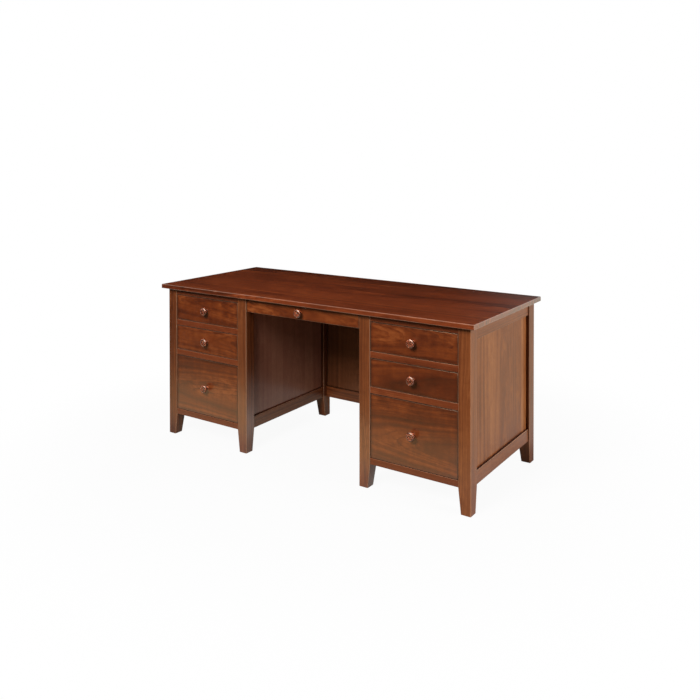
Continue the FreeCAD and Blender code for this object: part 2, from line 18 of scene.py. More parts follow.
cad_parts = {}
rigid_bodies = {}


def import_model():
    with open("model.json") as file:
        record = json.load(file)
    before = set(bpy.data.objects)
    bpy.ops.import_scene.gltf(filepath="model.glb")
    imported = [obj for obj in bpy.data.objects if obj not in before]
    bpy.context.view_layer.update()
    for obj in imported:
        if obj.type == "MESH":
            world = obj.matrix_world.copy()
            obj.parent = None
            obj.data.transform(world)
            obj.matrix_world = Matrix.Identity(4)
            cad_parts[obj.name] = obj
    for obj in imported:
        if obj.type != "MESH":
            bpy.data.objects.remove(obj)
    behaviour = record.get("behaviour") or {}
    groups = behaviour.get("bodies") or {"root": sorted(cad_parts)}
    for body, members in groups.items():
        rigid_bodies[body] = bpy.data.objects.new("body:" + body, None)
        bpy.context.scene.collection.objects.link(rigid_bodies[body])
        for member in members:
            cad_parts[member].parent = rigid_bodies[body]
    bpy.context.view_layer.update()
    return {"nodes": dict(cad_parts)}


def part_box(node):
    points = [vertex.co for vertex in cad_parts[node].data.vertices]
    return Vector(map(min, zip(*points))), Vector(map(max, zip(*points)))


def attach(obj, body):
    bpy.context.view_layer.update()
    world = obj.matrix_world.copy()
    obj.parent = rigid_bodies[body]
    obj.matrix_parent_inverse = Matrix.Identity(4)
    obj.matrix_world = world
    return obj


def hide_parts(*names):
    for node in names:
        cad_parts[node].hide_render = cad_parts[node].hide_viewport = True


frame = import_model()
log = logging.getLogger("desk")

MERGE_DISTANCE = 1e-6
LEVEL_SLACK = 1e-5
FLAT_ANGLE = math.radians(0.5)
SHARP_ANGLE = math.radians(50)
RIGHT_ANGLE = math.radians(90)
SIDES = ("left", "right")
LEVELS = ("top", "middle", "file")
ROOT_BODY = "cabinet"
WHITE = (1.0, 1.0, 1.0, 1.0)
NOISE_MIDDLE = 0.5

# The cosines past which an edge runs along an axis, and under which a face is slanted
STRAIGHT = 0.99
SLANT = 0.9

# How far apart along the log boards may be cut, and how unevenly boards are ripped for gluing up
LOG_LENGTH = 40.0
RIP_SPREAD = 0.25

# How dark the painted shade is in inside corners above the feet, and along the frame round a panel, where
# shade falls
PAINTED_SHADE = 3.0
FOOT_HEIGHT = 0.11
PANEL_SHADE = 6.0
PANEL_SHADE_WIDTH = 0.015

# How much paler or darker some boards are than chance makes them; the kneehole's back post and the modesty
# panel are darker as painted shade
TONE_AND_SHADE_LIFTS = {
    "left_outer_front_post": -2.6, "left_knee_front_post": -0.6, "left_knee_back_post": -2.4,
    "right_outer_front_post": 1.5, "right_outer_back_post": -1.6, "right_knee_front_post": 0.9,
    "back_rails": -1.2, "modesty_panel": -0.6, "pencil_drawer_face": 0.5, "left_top_drawer_face": 0.2,
    "right_top_drawer_face": 0.4, "right_middle_drawer_face": 0.5, "right_file_drawer_face": -0.9}


class Axis(Enum):
    """A direction of the desk's frame."""

    X = 0
    Y = 1
    Z = 2

    @property
    def unit(self) -> Vector:
        """The axis as a vector."""
        return Vector([float(number == self.value) for number in range(3)])


class Cut(Enum):
    """How a board was sawn: the ranges of its lean, and of the pith's place beside and under it."""

    PLAIN = ((1.5, 4.5), (-0.04, 0.04), (0.05, 0.11))
    RIFT = ((0.2, 1.0), (0.12, 0.2), (0.08, 0.16))

    def __init__(self, lean: tuple[float, float], beside: tuple[float, float],
                 under: tuple[float, float]) -> None:
        """Keeps the cut's ranges.

        Args:
            lean: The board's lean from the log's length, in degrees.
            beside: How far the pith lies beside the board.
            under: How far the pith lies under the board.
        """
        self.lean = lean
        self.beside = beside
        self.under = under


# Shader graphs

def colour(code: str) -> tuple[float, float, float, float]:
    """Turns a web colour code into the linear colour that a shader takes.

    Args:
        code: Six hexadecimal digits after a hash mark.

    Returns:
        Linear red, green, blue and an alpha of 1.
    """
    shares = [int(code[start:start + 2], 16) / 255 for start in (1, 3, 5)]
    linear = [s / 12.92 if s <= 0.04045 else ((s + 0.055) / 1.055) ** 2.4 for s in shares]
    return (linear[0], linear[1], linear[2], 1.0)


class Value:
    """A node's output that takes part in arithmetic, each operation adding one Math node."""

    def __init__(self, graph: "Graph", socket: bpy.types.NodeSocket | None) -> None:
        """Keeps the output and its graph."""
        self.graph = graph
        self.socket = socket

    def _math(self, operation: str, first: "Value | float", second: "Value | float") -> "Value":
        """Adds a Math node of two values."""
        return self.graph.node("ShaderNodeMath", {"operation": operation}, {0: first, 1: second})

    def __add__(self, other: "Value | float") -> "Value":
        """Adds a value."""
        return self._math("ADD", self, other)

    __radd__ = __add__

    def __sub__(self, other: "Value | float") -> "Value":
        """Takes a value away."""
        return self._math("SUBTRACT", self, other)

    def __rsub__(self, other: "Value | float") -> "Value":
        """Takes this value away from a number."""
        return self._math("SUBTRACT", other, self)

    def __mul__(self, other: "Value | float") -> "Value":
        """Multiplies by a value."""
        return self._math("MULTIPLY", self, other)

    __rmul__ = __mul__

    def __truediv__(self, other: "Value | float") -> "Value":
        """Divides by a value."""
        return self._math("DIVIDE", self, other)

    def __rtruediv__(self, other: "Value | float") -> "Value":
        """Divides a number by this value."""
        return self._math("DIVIDE", other, self)

    def __pow__(self, other: "Value | float") -> "Value":
        """Raises to a power."""
        return self._math("POWER", self, other)

    def fraction(self) -> "Value":
        """Keeps the part after the point."""
        return self.graph.node("ShaderNodeMath", {"operation": "FRACT"}, {0: self})

    def ease(self, low: float, high: float) -> "Value":
        """Rises smoothly from 0 at low to 1 at high."""
        return self.graph.node("ShaderNodeMapRange", {"interpolation_type": "SMOOTHSTEP"},
                               {"Value": self, "From Min": low, "From Max": high})


Socket = Value | float | tuple[float, ...]


@dataclass(frozen=True)
class Pattern:
    """A noise: its cycles to the metre along three directions, and its finer layers and their strength."""

    cycles: tuple[float, float, float]
    layers: float = 2.0
    strength: float = 0.5


class Graph:
    """A node tree that is written as expressions."""

    def __init__(self, tree: bpy.types.NodeTree) -> None:
        """Empties the tree."""
        self.tree = tree
        tree.nodes.clear()

    @staticmethod
    def _find(sockets: Iterable[bpy.types.NodeSocket], key: str | int) -> bpy.types.NodeSocket:
        """Finds a socket in use by its name or number."""
        used = [socket for socket in sockets if socket.enabled]
        return used[key] if isinstance(key, int) else next(s for s in used if s.name == key)

    def node(self, kind: str, settings: dict[str, object] | None = None,
             sockets: dict[str | int, Socket] | None = None, output: str | int = 0) -> Value:
        """Adds a node.

        Args:
            kind: The node's type.
            settings: Its properties, set first. A ramp's stops are (place, colour code) pairs.
            sockets: Values or links of its inputs, by name or number.
            output: The output that is wanted, by name or number.

        Returns:
            The wanted output.
        """
        made = self.tree.nodes.new(kind)
        for name, setting in (settings or {}).items():
            if name == "stops":
                self._set_stops(made.color_ramp, setting)
            else:
                setattr(made, name, setting)
        for key, value in (sockets or {}).items():
            socket = self._find(made.inputs, key)
            if isinstance(value, Value):
                self.tree.links.new(value.socket, socket)
            else:
                socket.default_value = value
        return Value(self, self._find(made.outputs, output)) if len(made.outputs) else Value(self, None)

    @staticmethod
    def _set_stops(ramp: bpy.types.ColorRamp, stops: Sequence[tuple[float, str]]) -> None:
        """Gives a ramp its stops.

        Args:
            ramp: The ramp.
            stops: The place and the colour code of each stop.
        """
        while len(ramp.elements) < len(stops):
            ramp.elements.new(1.0)
        for element, (place, code) in zip(ramp.elements, stops):
            element.position = place
            element.color = colour(code)

    def attribute(self, name: str, output: str = "Fac") -> Value:
        """Reads one of the marks on a piece."""
        return self.node("ShaderNodeAttribute", {"attribute_name": name}, output=output)

    def place(self) -> Value:
        """Reads the place of a point in its object's frame."""
        return self.node("ShaderNodeTexCoord", {}, output="Object")

    def share(self, vector: Value, axis: Axis) -> Value:
        """Takes a vector's share along one axis."""
        return self.node("ShaderNodeSeparateXYZ", {}, {"Vector": vector}, axis.name)

    def noise(self, place: Value, pattern: Pattern) -> Value:
        """Adds a noise, from 0 to 1, that is read at a place."""
        stretched = self.node("ShaderNodeVectorMath", {"operation": "MULTIPLY"},
                              {0: place, 1: pattern.cycles})
        return self.node("ShaderNodeTexNoise", {}, {"Vector": stretched, "Scale": 1.0,
                                                    "Detail": pattern.layers, "Roughness": pattern.strength})

    def line_noise(self, place: Value) -> Value:
        """Adds a noise, from 0 to 1, along one value."""
        return self.node("ShaderNodeTexNoise", {"noise_dimensions": "1D"}, {"W": place, "Scale": 1.0})

    def mix(self, factor: Socket, first: Socket, second: Socket) -> Value:
        """Mixes two colours."""
        return self.node("ShaderNodeMix", {"data_type": "RGBA"}, {"Factor": factor, "A": first, "B": second})


# Finishes

class Finish:
    """A surface finish with one material, made when it is first asked for."""

    name: str

    def material(self) -> bpy.types.Material:
        """Gives the finish's material.

        Returns:
            The material, which all pieces with this finish share.
        """
        known = bpy.data.materials.get(self.name)
        if known:
            return known
        made = bpy.data.materials.new(self.name)
        made.use_nodes = True
        graph = Graph(made.node_tree)
        shader = self.shade(graph)
        graph.node("ShaderNodeOutputMaterial", {}, {"Surface": shader})
        return made

    def shade(self, graph: Graph) -> Value:
        """Builds the finish's shader. Each finish has its own."""
        raise NotImplementedError


@dataclass(frozen=True)
class Wood(Finish):
    """Lacquered wood, with growth rings cut from a log, fibres, pores and a mottled stain.

    It reads the marks on a piece: grain, tone, end, edge and rim. The edge mark gets pale wear and a painted
    highlight, the rim mark painted shade. Its patterns run along, across and through the log.
    """

    SWAY = Pattern((1.3, 5.0, 5.0))
    WANDER = Pattern((9.0, 40.0, 40.0), 3.0)
    FIBRE = Pattern((16.0, 620.0, 620.0), 3.0, 0.6)
    RIPPLE = Pattern((48.0, 14.0, 14.0))
    MOTTLE = Pattern((22.0, 52.0, 52.0), 4.0, 0.6)
    BLOTCH = Pattern((2.4, 8.0, 8.0), 3.0)
    PORE = Pattern((40.0, 950.0, 950.0))
    RUB_AND_GLINT = Pattern((22.0, 60.0, 60.0))

    name: str
    deep: str
    heart: str
    warm: str
    pale: str
    # Pale colour of worn edges, which also serves as a painted highlight along eased edges
    worn_and_highlight: str = "#c49a7c"
    ring_width: float = 0.0065
    ring_depth: float = 0.32
    band_pitch: float = 60.0
    band_depth: float = 0.60
    mottle_depth: float = 0.75
    blotch_depth: float = 0.80
    fibre_depth: float = 0.40
    ripple_depth: float = 0.14
    tone_depth: float = 0.08
    pore_depth: float = 0.35
    pore_dulling: float = 0.5
    painted_shade_depth: float = 0.2
    end_depth: float = 0.45
    edge_share: float = 0.5
    wear_and_highlight: float = 0.12
    roughness: float = 0.36
    lacquer: float = 0.3
    lacquer_roughness: float = 0.2
    relief: float = 0.25
    end_lacquer: float = 0.0
    gloss: float = 0.5
    sheen: str = "#ffd2a6"
    sway_depth: float = 0.05
    wander_depth: float = 0.006
    late_wood: float = 2.5
    least_mottle: float = 0.1
    middle_light: float = 0.55
    stops: tuple[float, float, float, float] = (0.1, 0.42, 0.62, 0.95)
    figure_range: tuple[float, float] = (0.42, 0.66)
    pore_range: tuple[float, float] = (0.58, 0.7)
    rub_and_glint_range: tuple[float, float] = (0.58, 0.74)
    end_range: tuple[float, float] = (0.6, 0.9)
    rough_share: float = 0.1
    end_rough: float = 0.08
    fibre_rise: float = 0.5
    late_rise: float = 0.2
    bump_height: float = 0.0004

    def shade(self, graph: Graph) -> Value:
        """Builds the wood's shader.

        Args:
            graph: The graph to add to.

        Returns:
            The shader.
        """
        grain = graph.attribute("grain", "Vector")
        tone, end, edge, rim = (graph.attribute(mark) for mark in ("tone", "end", "edge", "rim"))
        sway = graph.noise(grain, self.SWAY) - NOISE_MIDDLE
        across, depth = (graph.share(grain, axis) for axis in (Axis.Y, Axis.Z))
        wander = graph.noise(grain, self.WANDER) - NOISE_MIDDLE
        radius = ((across * across + depth * depth) ** 0.5 + sway * self.sway_depth
                  + wander * self.wander_depth)
        late = (radius / self.ring_width).fraction() ** self.late_wood
        bands = graph.line_noise(radius * self.band_pitch) - NOISE_MIDDLE
        fibre = graph.noise(grain, self.FIBRE) - NOISE_MIDDLE
        ripple = graph.noise(grain, self.RIPPLE) - NOISE_MIDDLE
        mottle = graph.noise(grain, self.MOTTLE) - NOISE_MIDDLE
        blotch = graph.noise(grain, self.BLOTCH)
        figure = blotch.ease(*self.figure_range)
        pores = graph.noise(grain, self.PORE).ease(*self.pore_range)
        # The rim mark darkens the stain as painted shade in corners, gaps and along frames
        light = ((blotch - NOISE_MIDDLE) * self.blotch_depth + bands * self.band_depth
                 + fibre * self.fibre_depth + ripple * self.ripple_depth
                 + mottle * (figure * self.mottle_depth + self.least_mottle) + tone * self.tone_depth
                 - late * figure * self.ring_depth - rim * self.painted_shade_depth + self.middle_light)
        stops = tuple(zip(self.stops, (self.deep, self.heart, self.warm, self.pale)))
        stained = graph.node("ShaderNodeValToRGB", {"stops": stops}, {"Fac": light})
        porous = graph.mix(pores * self.pore_depth, stained, colour(self.deep))
        capped = graph.mix(end.ease(*self.end_range) * self.end_depth, porous, colour(self.deep))
        # Eased edges are paled, partly as wear and partly as a painted highlight
        rubs_and_glints = graph.noise(grain, self.RUB_AND_GLINT).ease(*self.rub_and_glint_range)
        worn_and_lit = edge * (rubs_and_glints * (1.0 - self.edge_share) + self.edge_share) * self.wear_and_highlight
        base = graph.mix(worn_and_lit, capped, colour(self.worn_and_highlight))
        rough = (fibre + pores + mottle) * self.rough_share + end * self.end_rough + self.roughness
        height = fibre * self.fibre_rise - pores - late * self.late_rise
        bump = graph.node("ShaderNodeBump", {}, {"Strength": self.relief, "Distance": self.bump_height,
                                                 "Height": height})
        coat = end * self.end_lacquer - pores * (self.pore_depth * self.pore_dulling) + self.lacquer
        return graph.node("ShaderNodeBsdfPrincipled", {}, {
            "Base Color": base, "Roughness": rough, "Normal": bump, "Coat Weight": coat,
            "Coat Roughness": self.lacquer_roughness, "Specular IOR Level": self.gloss,
            "Specular Tint": colour(self.sheen)})


@dataclass(frozen=True)
class Steel(Finish):
    """Zinc-plated steel with drawing lines along the desk's depth and cloudy plating."""

    DRAWN = Pattern((900.0, 9.0, 900.0))
    CLOUD = Pattern((34.0, 16.0, 34.0), 5.0)

    name: str
    bright: str
    dull: str
    roughness: float = 0.34
    drawn_depth: float = 0.16
    cloud_depth: float = 0.1
    cloud_range: tuple[float, float] = (0.3, 0.7)
    relief: float = 0.15
    bump_height: float = 0.0002

    def shade(self, graph: Graph) -> Value:
        """Builds the steel's shader.

        Args:
            graph: The graph to add to.

        Returns:
            The shader.
        """
        drawn = graph.noise(graph.place(), self.DRAWN)
        cloud = graph.noise(graph.place(), self.CLOUD)
        base = graph.mix(cloud.ease(*self.cloud_range), colour(self.bright), colour(self.dull))
        smoothest = self.roughness - (self.drawn_depth + self.cloud_depth) * NOISE_MIDDLE
        rough = drawn * self.drawn_depth + cloud * self.cloud_depth + smoothest
        bump = graph.node("ShaderNodeBump", {}, {"Strength": self.relief, "Distance": self.bump_height,
                                                 "Height": drawn})
        return graph.node("ShaderNodeBsdfPrincipled", {}, {
            "Base Color": base, "Roughness": rough, "Normal": bump, "Metallic": 1.0})


@dataclass(frozen=True)
class Paper(Finish):
    """White studio paper: white to the lens and in reflections, with the desk's soft shadow on it.

    Its reflections show a painted shadow under and behind the desk, in patches that each have a middle and
    half sizes along X and Y.
    """

    name: str
    sheet: str = "#d2d2d2"
    bounce: str = "#666666"
    glow: float = 0.94
    white: float = 1.0
    shadow_reach: tuple[float, float] = (0.95, 2.0)
    dim_patches: tuple[tuple[float, float, float, float], ...] = (
        (-0.6, 0.0, 0.3, 0.4), (0.6, 0.0, 0.3, 0.4), (0.0, 0.6, 0.9, 0.35))
    dim_feather: float = 0.2
    dim_depth: float = 0.6

    def shade(self, graph: Graph) -> Value:
        """Builds the paper's shader.

        Args:
            graph: The graph to add to.

        Returns:
            The shader.
        """
        place = graph.place()
        away = graph.node("ShaderNodeVectorMath", {"operation": "LENGTH"}, {0: place}, "Value")
        lit = 1.0
        for middle_x, middle_y, half_x, half_y in self.dim_patches:
            dimmed = self.dim_depth
            for axis, middle, half in ((Axis.X, middle_x, half_x), (Axis.Y, middle_y, half_y)):
                off = graph.share(place, axis) - middle
                dimmed = dimmed * (off * off).ease((half + self.dim_feather) ** 2, half ** 2)
            lit = lit * (1.0 - dimmed)
        seen = seen_rays(graph, lit)
        tint = graph.mix(seen, colour(self.bounce), colour(self.sheet))
        matt = graph.node("ShaderNodeBsdfDiffuse", {}, {"Color": tint})
        white = graph.node("ShaderNodeEmission", {}, {"Color": WHITE, "Strength": self.white})
        glow = away.ease(*self.shadow_reach) * (1.0 - self.glow) + self.glow
        return graph.node("ShaderNodeMixShader", {}, {0: seen * glow, 1: matt, 2: white})


@dataclass(frozen=True)
class CardFace(Finish):
    """The even face of a studio card, thinned out towards the card's edges."""

    name: str
    half_width: float
    half_height: float
    feather: float
    tint: str
    density: float

    def shade(self, graph: Graph) -> Value:
        """Builds the card's shader.

        Args:
            graph: The graph to add to.

        Returns:
            The shader.
        """
        thin = 1.0
        for axis, half in ((Axis.X, self.half_width), (Axis.Y, self.half_height)):
            along = graph.share(graph.place(), axis)
            thin = thin * (along * along).ease(half ** 2, (half - self.feather) ** 2)
        clear = graph.node("ShaderNodeBsdfTransparent")
        even = graph.node("ShaderNodeEmission", {}, {"Color": colour(self.tint)})
        return graph.node("ShaderNodeMixShader", {}, {0: thin * self.density, 1: clear, 2: even})


def seen_rays(graph: Graph, lit: Socket = 1.0) -> Value:
    """Tells the rays that show the white studio from those that light it.

    Args:
        graph: The graph to add to.
        lit: How much of the white reflections show, which is less in the shade under the desk.

    Returns:
        1 for rays from the lens and through glass, up to 1 for reflections, and 0 for diffuse light.
    """
    lens, gloss, glass = (graph.node("ShaderNodeLightPath", {}, output=f"Is {kind} Ray")
                          for kind in ("Camera", "Glossy", "Transmission"))
    return graph.node("ShaderNodeClamp", {}, {"Value": lens + glass + gloss * lit})


# High wear on the top and the frame paints a pale highlight along their eased edges and arrises
TOP_WOOD = Wood("top_stain", deep="#38160a", heart="#662a13", warm="#833a1b", pale="#a8562b",
                worn_and_highlight="#d8b196", lacquer=0.5, roughness=0.33, tone_depth=0.14, wear_and_highlight=0.5, edge_share=0.4,
                blotch_depth=1.0, mottle_depth=1.0, band_depth=0.9, end_depth=0.0, end_lacquer=0.9)
FRAME_WOOD = Wood("frame_stain", deep="#451d0b", heart="#6a3318", warm="#7e4220", pale="#9a582f",
                  lacquer=0.12, gloss=0.8, wear_and_highlight=0.65, band_pitch=110.0, band_depth=0.75)
KNEE_POST_WOOD = replace(FRAME_WOOD, name="knee_post_stain", lacquer=0.9)
RAIL_WOOD = Wood("rail_stain", deep="#451a0c", heart="#692d15", warm="#7b381b", pale="#954f2b",
                 lacquer=0.15, gloss=0.65, wear_and_highlight=0.4, blotch_depth=0.45, band_depth=0.4, mottle_depth=0.5)
PANEL_WOOD = Wood("panel_stain", deep="#4c220f", heart="#783f1f", warm="#905229", pale="#ac6c3e",
                  tone_depth=0.2, lacquer=0.1, ring_depth=0.15, band_depth=0.45, mottle_depth=0.6,
                  blotch_depth=1.0)
# Paler, greyer stain for the kneehole panels: partly stain, partly a painted sheen standing in for the
# lacquer's reflection
KNEE_SHEEN_WOOD = Wood("knee_stain", deep="#512b1c", heart="#85503e", warm="#9a624d", pale="#b27c62",
                 tone_depth=0.1, lacquer=0.6, ring_depth=0.1, band_depth=0.25, mottle_depth=0.3,
                 blotch_depth=0.6)
# Darker stain for the modesty panel, partly painted shade for the kneehole's shadow
MODESTY_SHADE_WOOD = Wood("modesty_stain", deep="#402010", heart="#673921", warm="#7b492c", pale="#95623d",
                    tone_depth=0.1, lacquer=0.1, ring_depth=0.1, band_depth=0.3, mottle_depth=0.3,
                    blotch_depth=0.6)
FACE_WOOD = Wood("face_stain", deep="#381307", heart="#5c230c", warm="#763311", pale="#984f24",
                 lacquer=0.14, gloss=1.0, painted_shade_depth=0.16, wear_and_highlight=0.18, blotch_depth=1.15, band_depth=0.85,
                 mottle_depth=1.0, ripple_depth=0.25)
FILE_FACE_WOOD = replace(FACE_WOOD, name="file_face_stain", lacquer=0.5)
KNOB_WOOD = Wood("knob_stain", deep="#38130a", heart="#622814", warm="#74341c", pale="#8f4c2f",
                 worn_and_highlight="#d0ab92", pore_depth=0.1, lacquer=0.85, lacquer_roughness=0.14, roughness=0.3,
                 relief=0.04, wear_and_highlight=0.05)
BOX_WOOD = Wood("clear_maple", deep="#96693a", heart="#c99d69", warm="#d3aa78", pale="#dfbc8e",
                worn_and_highlight="#e6c9a0", pore_depth=0.2, end_depth=0.85, wear_and_highlight=0.1, roughness=0.45, lacquer=0.2,
                band_depth=0.4, mottle_depth=0.45)
CLEAT_WOOD = Wood("plain_poplar", deep="#8d7450", heart="#b39a6c", warm="#bfa97c", pale="#cdb98e",
                  worn_and_highlight="#d8c8a0", pore_depth=0.2, wear_and_highlight=0.1, roughness=0.6, lacquer=0.0)
ZINC = Steel("zinc_steel", "#c9cbcc", "#bdc0c2")
BAR_STEEL = Steel("bar_steel", "#d6d6d4", "#c6c7c7", roughness=0.5)
SCREW_STEEL = Steel("screw_steel", "#b9babd", "#9fa2a6", roughness=0.3)


# Pieces on the bench

@dataclass(frozen=True)
class Board:
    """One board's place in its log: a turn and a shift from the desk's frame to the log's, and a tone."""

    turn: Matrix
    shift: Vector
    tone: float

    @classmethod
    def pick(cls, picker: random.Random, along: Axis, face: Axis, cut: Cut) -> "Board":
        """Picks a board from the pile.

        Args:
            picker: The seeded source of chance.
            along: The direction of the grain.
            face: The direction that the board's broad face looks in.
            cut: How it was sawn.

        Returns:
            The board.
        """
        width = next(axis for axis in Axis if axis not in (along, face))
        turn = Matrix([along.unit, width.unit, face.unit])
        lean = picker.uniform(*cut.lean) * picker.choice((-1, 1))
        tilt = Matrix.Rotation(math.radians(lean), 3, "Y")
        pith = (picker.uniform(*cut.beside), picker.uniform(*cut.under))
        shift = Vector((picker.uniform(0, LOG_LENGTH), *pith))
        return cls(tilt @ turn, shift, picker.uniform(-1, 1))

    def place(self, point: Vector, middle: Vector) -> Vector:
        """Gives a point of the board in its log."""
        return self.turn @ (point - middle) + self.shift


class Blank:
    """A piece on the bench: a mesh that is shaped, then marked for its finish and hung on its body."""

    def __init__(self) -> None:
        """Starts an empty piece."""
        self.mesh = bmesh.new()
        self.eased = self.mesh.faces.layers.float.new("edge")

    @classmethod
    def of_node(cls, node: str) -> "Blank":
        """Takes a copy of a frame node, with its triangles merged into flat faces.

        Args:
            node: The node's name.

        Returns:
            The copy.
        """
        blank = cls()
        mesh = blank.mesh
        mesh.from_mesh(frame["nodes"][node].data)
        blank.eased = mesh.faces.layers.float.get("edge") or mesh.faces.layers.float.new("edge")
        bmesh.ops.remove_doubles(mesh, verts=mesh.verts, dist=MERGE_DISTANCE)
        bmesh.ops.dissolve_limit(mesh, angle_limit=FLAT_ANGLE, verts=mesh.verts, edges=mesh.edges)
        return blank

    @classmethod
    def block(cls, low: Vector, high: Vector) -> "Blank":
        """Saws a plain block.

        Args:
            low: Its lowest corner.
            high: Its highest corner.

        Returns:
            The block.
        """
        blank = cls()
        place = Matrix.Translation((low + high) / 2) @ Matrix.Diagonal((*(high - low), 1.0))
        bmesh.ops.create_cube(blank.mesh, size=1.0, matrix=place)
        return blank

    def edges_along(self, axis: Axis) -> list[bmesh.types.BMEdge]:
        """Finds the edges that run along an axis."""
        return [edge for edge in self.mesh.edges
                if abs((edge.verts[1].co - edge.verts[0].co).normalized()[axis.value]) > STRAIGHT]

    def edges_at(self, axis: Axis, level: float) -> list[bmesh.types.BMEdge]:
        """Finds the outer edges of the flat end at a level along an axis.

        Args:
            axis: The axis.
            level: The end's place on it.

        Returns:
            The edges.
        """
        return [edge for edge in self.mesh.edges
                if all(abs(vert.co[axis.value] - level) < LEVEL_SLACK for vert in edge.verts)
                and edge.calc_face_angle(0.0) > SHARP_ANGLE]

    def ease(self, edges: list[bmesh.types.BMEdge], width: float, segments: int) -> None:
        """Rounds edges over.

        Args:
            edges: The edges to round.
            width: The distance from the edge at which the rounding starts.
            segments: The number of faces across the rounding.
        """
        done = bmesh.ops.bevel(self.mesh, geom=edges, offset=width, segments=segments, profile=0.5,
                               affect="EDGES", clamp_overlap=True, material=-1)
        for face in done["faces"]:
            face[self.eased] = 1.0

    def pool(self, out: Vector, above: float = 0.0) -> None:
        """Marks the faces that look one way with painted shade, as for inside corners and ledges where shade
        falls.

        Args:
            out: The way that the faces look.
            above: The height below which none are marked.
        """
        rim = self.mesh.faces.layers.float.new("rim")
        for face in self.mesh.faces:
            if face.normal.dot(out) > SLANT and face.calc_center_median().z > above:
                face[rim] = PAINTED_SHADE

    def margin(self, axis: Axis, level: float, width: float, depth: float = 1.0) -> None:
        """Marks the margin of the flat face at a level along an axis with painted shade, darkest at the
        edges; the rest of the piece gets deeper painted shade, as in the gaps.

        Args:
            axis: The axis that the face looks along.
            level: The face's place on that axis.
            width: How far the margin reaches in from the edges.
            depth: How dark the painted shade is at the edges.
        """
        rim = self.mesh.verts.layers.float.get("rim")
        if rim is None:
            rim = self.mesh.verts.layers.float.new("rim")
            # Everything off the face starts with the deepest painted shade, which darkens eased edges as gap
            # shadow
            for vert in self.mesh.verts:
                vert[rim] = PAINTED_SHADE
        ends = [face for face in self.mesh.faces
                if all(abs(vert.co[axis.value] - level) < LEVEL_SLACK for vert in face.verts)]
        for vert in {vert for face in ends for vert in face.verts}:
            vert[rim] = depth
        bmesh.ops.inset_region(self.mesh, faces=ends, thickness=width, use_even_offset=True)
        for vert in {vert for face in ends for vert in face.verts}:
            vert[rim] = 0.0

    def spare(self, out: Vector) -> None:
        """Leaves the edges that look one way without pale wear or painted highlight.

        Args:
            out: The way that the edges look.
        """
        self.mesh.normal_update()
        for face in self.mesh.faces:
            if face.normal.dot(out) > 1.0 - SLANT:
                face[self.eased] = 0.0

    def saw(self, across: Axis, joints: Sequence[float]) -> None:
        """Cuts every face at the glue joints, so that each board has its own faces.

        Args:
            across: The direction in which the boards lie side by side.
            joints: The places of the joints in that direction.
        """
        for joint in joints:
            geometry = [*self.mesh.verts, *self.mesh.edges, *self.mesh.faces]
            bmesh.ops.bisect_plane(self.mesh, geom=geometry, dist=MERGE_DISTANCE,
                                   plane_co=across.unit * joint, plane_no=across.unit)

    def solids(self) -> list[list[bmesh.types.BMFace]]:
        """Sorts the faces into separate solids.

        Returns:
            Each solid's faces, in the order of the solids' lowest corners.
        """
        waiting = set(self.mesh.faces)
        found = []
        while waiting:
            island = [waiting.pop()]
            for face in island:
                for edge in face.edges:
                    fresh = [other for other in edge.link_faces if other in waiting]
                    island += fresh
                    waiting.difference_update(fresh)
            found.append(island)
        return sorted(found, key=lambda faces: min(tuple(v.co) for face in faces for v in face.verts))

    def arrises(self) -> None:
        """Marks the slanted faces along the edges of a squared piece, for pale wear and a painted highlight.
        """
        for face in self.mesh.faces:
            if max(abs(share) for share in face.normal) < SLANT:
                face[self.eased] = 1.0

    def mark(self, name: str, cut: Cut, along: Axis | None = None, across: Axis = Axis.Y,
             joints: Sequence[float] = (), lifts: Sequence[float] = (0.0,)) -> None:
        """Gives every board its grain, tone and end grain.

        Args:
            name: The piece's name, which seeds the choice of boards.
            cut: How its boards were sawn.
            along: The direction of the grain, or nothing to follow each solid's longest side.
            across: The direction in which glued boards lie side by side.
            joints: The places of the glue joints in that direction.
            lifts: What is added to the boards' tones in turn, the last one to all that follow.
        """
        grain = self.mesh.loops.layers.float_vector.new("grain")
        tone = self.mesh.faces.layers.float.new("tone")
        end = self.mesh.faces.layers.float.new("end")
        picker = random.Random(name)
        for faces in self.solids():
            corners = [vert.co for face in faces for vert in face.verts]
            spans = [max(c[k] for c in corners) - min(c[k] for c in corners) for k in range(3)]
            middle = sum(corners, Vector()) / len(corners)
            length = along or Axis(spans.index(max(spans)))
            broad = min((axis for axis in Axis if axis is not length), key=lambda axis: spans[axis.value])
            boards = [Board.pick(picker, length, broad, cut) for _ in range(len(joints) + 1)]
            for face in faces:
                number = sum(face.calc_center_median()[across.value] > joint for joint in joints)
                board = boards[number]
                face[tone] = board.tone + lifts[min(number, len(lifts) - 1)]
                face[end] = abs(face.normal[length.value])
                for loop in face.loops:
                    loop[grain] = board.place(loop.vert.co, middle)

    def hang(self, name: str, body: str, finish: Finish, slot: str, *replaced: str) -> None:
        """Turns the piece into an object that rides on its body.

        Args:
            name: The object's name.
            body: The body that carries it.
            finish: Its finish.
            slot: Not used.
            replaced: The frame nodes that it stands for.
        """
        data = bpy.data.meshes.new(name)
        self.mesh.to_mesh(data)
        self.mesh.free()
        data.shade_smooth()
        data.set_sharp_from_angle(angle=SHARP_ANGLE)
        data.materials.append(finish.material())
        piece = bpy.data.objects.new(name, data)
        bpy.context.scene.collection.objects.link(piece)
        flat = piece.modifiers.new("flat_faces", "WEIGHTED_NORMAL")
        flat.keep_sharp = True
        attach(piece, body)
        if replaced:
            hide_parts(*replaced)
        log.info("%s: %d faces on %s", name, len(data.polygons), body)


